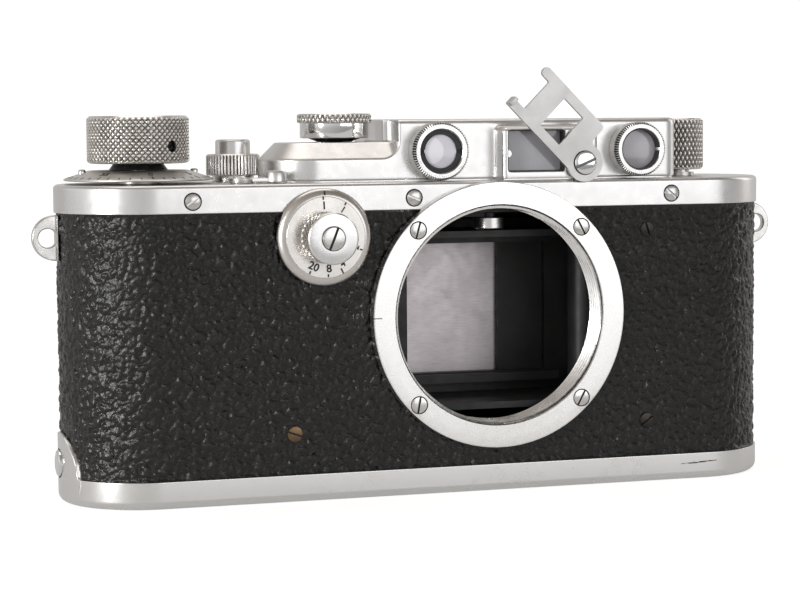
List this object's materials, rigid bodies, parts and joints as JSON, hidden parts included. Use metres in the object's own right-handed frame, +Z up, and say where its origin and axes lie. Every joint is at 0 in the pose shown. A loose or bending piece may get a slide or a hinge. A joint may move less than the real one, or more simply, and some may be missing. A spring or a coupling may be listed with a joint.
{
  "type": "rangefinder camera",
  "caption": "Screw-mount rangefinder camera body with rounded ends, knurled wind and rewind knobs, speed dials, finder block with swing-up mask, open shutter and hinged base plate.",
  "frame": {"origin": "centre of the front face of the lens flange, on the lens axis", "axes": "+X to the right seen from the front, +Y into the body along the lens axis, +Z up"},
  "size_m": [0.1414, 0.0383, 0.0757],
  "materials": {
    "satin_chrome": "satin chrome plating, slightly warm",
    "covering": "pebbled hard-rubber covering, glossy",
    "black_metal": "flat black paint",
    "black_screw": "blackened steel, worn",
    "steel": "turned steel",
    "brass": "bare brass",
    "glass": "clear optical glass",
    "mirror": "silvered mirror on a mount",
    "mask_grey": "matt grey sheet",
    "plate_grey": "brushed pressure plate",
    "curtain_black": "rubberised cloth"
  },
  "bodies": {
    "camera_body": {"body_shell": "black_metal", "body_covering": "covering", "top_cover": "satin_chrome", "finder_housing": "satin_chrome", "lens_flange": "satin_chrome", "flange_screws": "steel", "top_cover_screws": "steel", "front_screws": "black_screw", "shutter_crate": "black_metal", "film_gate_mask": "black_metal", "pressure_plate": "plate_grey", "pressure_spring": "steel", "top_bearing_plate": "brass", "bottom_bearing_plate": "brass", "idler_studs": "steel", "left_window_bezel": "satin_chrome", "right_window_bezel": "satin_chrome", "left_window_glass": "glass", "right_window_glass": "glass", "viewfinder_front_lens": "glass", "viewfinder_eyepiece": "black_screw", "rangefinder_eyepiece": "black_screw", "rangefinder_beam_splitter": "glass", "strap_lug_left": "steel", "strap_lug_right": "steel", "base_catch_stud": "steel", "release_collar": "satin_chrome", "mask_screw": "steel"},
    "wind": {"wind_knob": "satin_chrome", "wind_knob_set_screw": "black_screw", "wind_shaft": "steel", "wind_gear": "brass", "take_up_spool": "black_metal"},
    "counter": {"counter_dial": "satin_chrome", "counter_pins": "steel"},
    "idler_a": {"idler_gear_a": "brass"},
    "idler_b": {"idler_gear_b": "brass"},
    "sprocket": {"sprocket": "steel"},
    "drum": {"shutter_drum": "steel"},
    "speed_sleeve": {"speed_dial_sleeve": "black_metal"},
    "speed_dial": {"speed_dial": "satin_chrome"},
    "release": {"release_button": "satin_chrome"},
    "rewind_lever": {"rewind_lever": "satin_chrome"},
    "slow_dial": {"slow_dial": "satin_chrome", "slow_dial_knob": "satin_chrome", "slow_dial_spindle": "steel"},
    "rewind_shaft": {"rewind_shaft": "steel"},
    "rewind_knob": {"rewind_knob": "satin_chrome"},
    "first_roller": {"first_curtain_roller": "curtain_black"},
    "second_roller": {"second_curtain_roller": "curtain_black"},
    "rf_arm": {"rangefinder_arm": "steel"},
    "rf_roller": {"rangefinder_roller": "satin_chrome"},
    "rf_mirror": {"rangefinder_mirror": "mirror"},
    "diopter": {"diopter_ring": "satin_chrome"},
    "mask": {"viewfinder_mask": "mask_grey"},
    "base": {"base_plate": "satin_chrome", "tripod_bush": "steel"},
    "base_lock": {"base_lock_disc": "satin_chrome", "base_lock_cam": "steel"},
    "bail": {"base_lock_bail": "satin_chrome"}
  },
  "joints": [
    {"name": "wind_turn", "type": "hinge", "parent": "camera_body", "child": "wind", "pos_m": [-0.0613, 0.01767, 0], "axis": [0, 0, 1], "continuous": true},
    {"name": "counter_turn", "type": "hinge", "parent": "camera_body", "child": "counter", "pos_m": [-0.0613, 0.01767, 0], "axis": [0, 0, 1], "continuous": true},
    {"name": "idler_a_turn", "type": "hinge", "parent": "camera_body", "child": "idler_a", "pos_m": [-0.0502, 0.0131, 0], "axis": [0, 0, 1], "continuous": true},
    {"name": "sprocket_turn", "type": "hinge", "parent": "camera_body", "child": "sprocket", "pos_m": [-0.043, 0.0227, 0], "axis": [0, 0, 1], "continuous": true},
    {"name": "idler_b_turn", "type": "hinge", "parent": "camera_body", "child": "idler_b", "pos_m": [-0.03672, 0.01248, 0], "axis": [0, 0, 1], "continuous": true},
    {"name": "drum_turn", "type": "hinge", "parent": "camera_body", "child": "drum", "pos_m": [-0.0256, 0.017, 0], "axis": [0, 0, 1], "continuous": true},
    {"name": "first_roller_turn", "type": "hinge", "parent": "camera_body", "child": "first_roller", "pos_m": [0.024, 0.02, 0], "axis": [0, 0, 1], "continuous": true},
    {"name": "second_roller_turn", "type": "hinge", "parent": "camera_body", "child": "second_roller", "pos_m": [0.0254, 0.0122, 0], "axis": [0, 0, 1], "continuous": true},
    {"name": "speed_lift", "type": "slide", "parent": "drum", "child": "speed_sleeve", "axis": [0, 0, 1], "range_m": [0, 0.0015]},
    {"name": "speed_select", "type": "hinge", "parent": "speed_sleeve", "child": "speed_dial", "pos_m": [-0.0256, 0.017, 0], "axis": [0, 0, 1], "range_deg": [0, 300]},
    {"name": "release_press", "type": "slide", "parent": "camera_body", "child": "release", "axis": [0, 0, -1], "range_m": [0, 0.0015]},
    {"name": "rewind_lever_swing", "type": "hinge", "parent": "camera_body", "child": "rewind_lever", "pos_m": [-0.0456, 0.0063, 0], "axis": [0, 0, 1], "range_deg": [0, 65]},
    {"name": "slow_dial_turn", "type": "hinge", "parent": "camera_body", "child": "slow_dial", "pos_m": [-0.0321, 0, 0.0145], "axis": [0, -1, 0], "range_deg": [0, 190]},
    {"name": "rewind_turn", "type": "hinge", "parent": "camera_body", "child": "rewind_shaft", "pos_m": [0.0428, 0.01767, 0], "axis": [0, 0, 1], "continuous": true},
    {"name": "rewind_lift", "type": "slide", "parent": "rewind_shaft", "child": "rewind_knob", "axis": [0, 0, 1], "range_m": [0, 0.003]},
    {"name": "mask_swing", "type": "hinge", "parent": "camera_body", "child": "mask", "pos_m": [0.0166, 0, 0.0268], "axis": [0, 1, 0], "range_deg": [-45, 45]},
    {"name": "rf_arm_swing", "type": "hinge", "parent": "camera_body", "child": "rf_arm", "pos_m": [-0.0145, 0.0125, 0], "axis": [0, 0, 1], "range_deg": [0, 12]},
    {"name": "rf_roller_turn", "type": "hinge", "parent": "rf_arm", "child": "rf_roller", "pos_m": [0.001, 0.009, 0], "axis": [0, 0, 1], "continuous": true},
    {"name": "rf_mirror_turn", "type": "hinge", "parent": "camera_body", "child": "rf_mirror", "pos_m": [-0.0099, 0.0135, 0], "axis": [0, 0, 1], "range_deg": [0, 1.2]},
    {"name": "diopter_turn", "type": "hinge", "parent": "camera_body", "child": "diopter", "pos_m": [0.0284, 0.028, 0.0291], "axis": [0, 1, 0], "range_deg": [-40, 20]},
    {"name": "base_open", "type": "hinge", "parent": "camera_body", "child": "base", "pos_m": [-0.07529, 0.01767, -0.0194], "axis": [0, 1, 0], "range_deg": [0, 18]},
    {"name": "base_lock_turn", "type": "hinge", "parent": "base", "child": "base_lock", "pos_m": [0.044, 0.01767, -0.031], "axis": [0, 0, 1], "range_deg": [0, 180]},
    {"name": "bail_fold", "type": "hinge", "parent": "base_lock", "child": "bail", "pos_m": [0.044, 0.01767, -0.0312], "axis": [1, 0, 0], "range_deg": [0, 90]}
  ],
  "couplings": [
    {"joint": "counter_turn", "follows": "wind_turn", "ratio": 0.05},
    {"joint": "idler_a_turn", "follows": "wind_turn", "ratio": -1},
    {"joint": "sprocket_turn", "follows": "wind_turn", "ratio": 1},
    {"joint": "idler_b_turn", "follows": "wind_turn", "ratio": -1},
    {"joint": "drum_turn", "follows": "wind_turn", "ratio": 1},
    {"joint": "first_roller_turn", "follows": "wind_turn", "ratio": 2.1667},
    {"joint": "second_roller_turn", "follows": "wind_turn", "ratio": 2.7083},
    {"joint": "rf_mirror_turn", "follows": "rf_arm_swing", "ratio": 0.1}
  ]
}
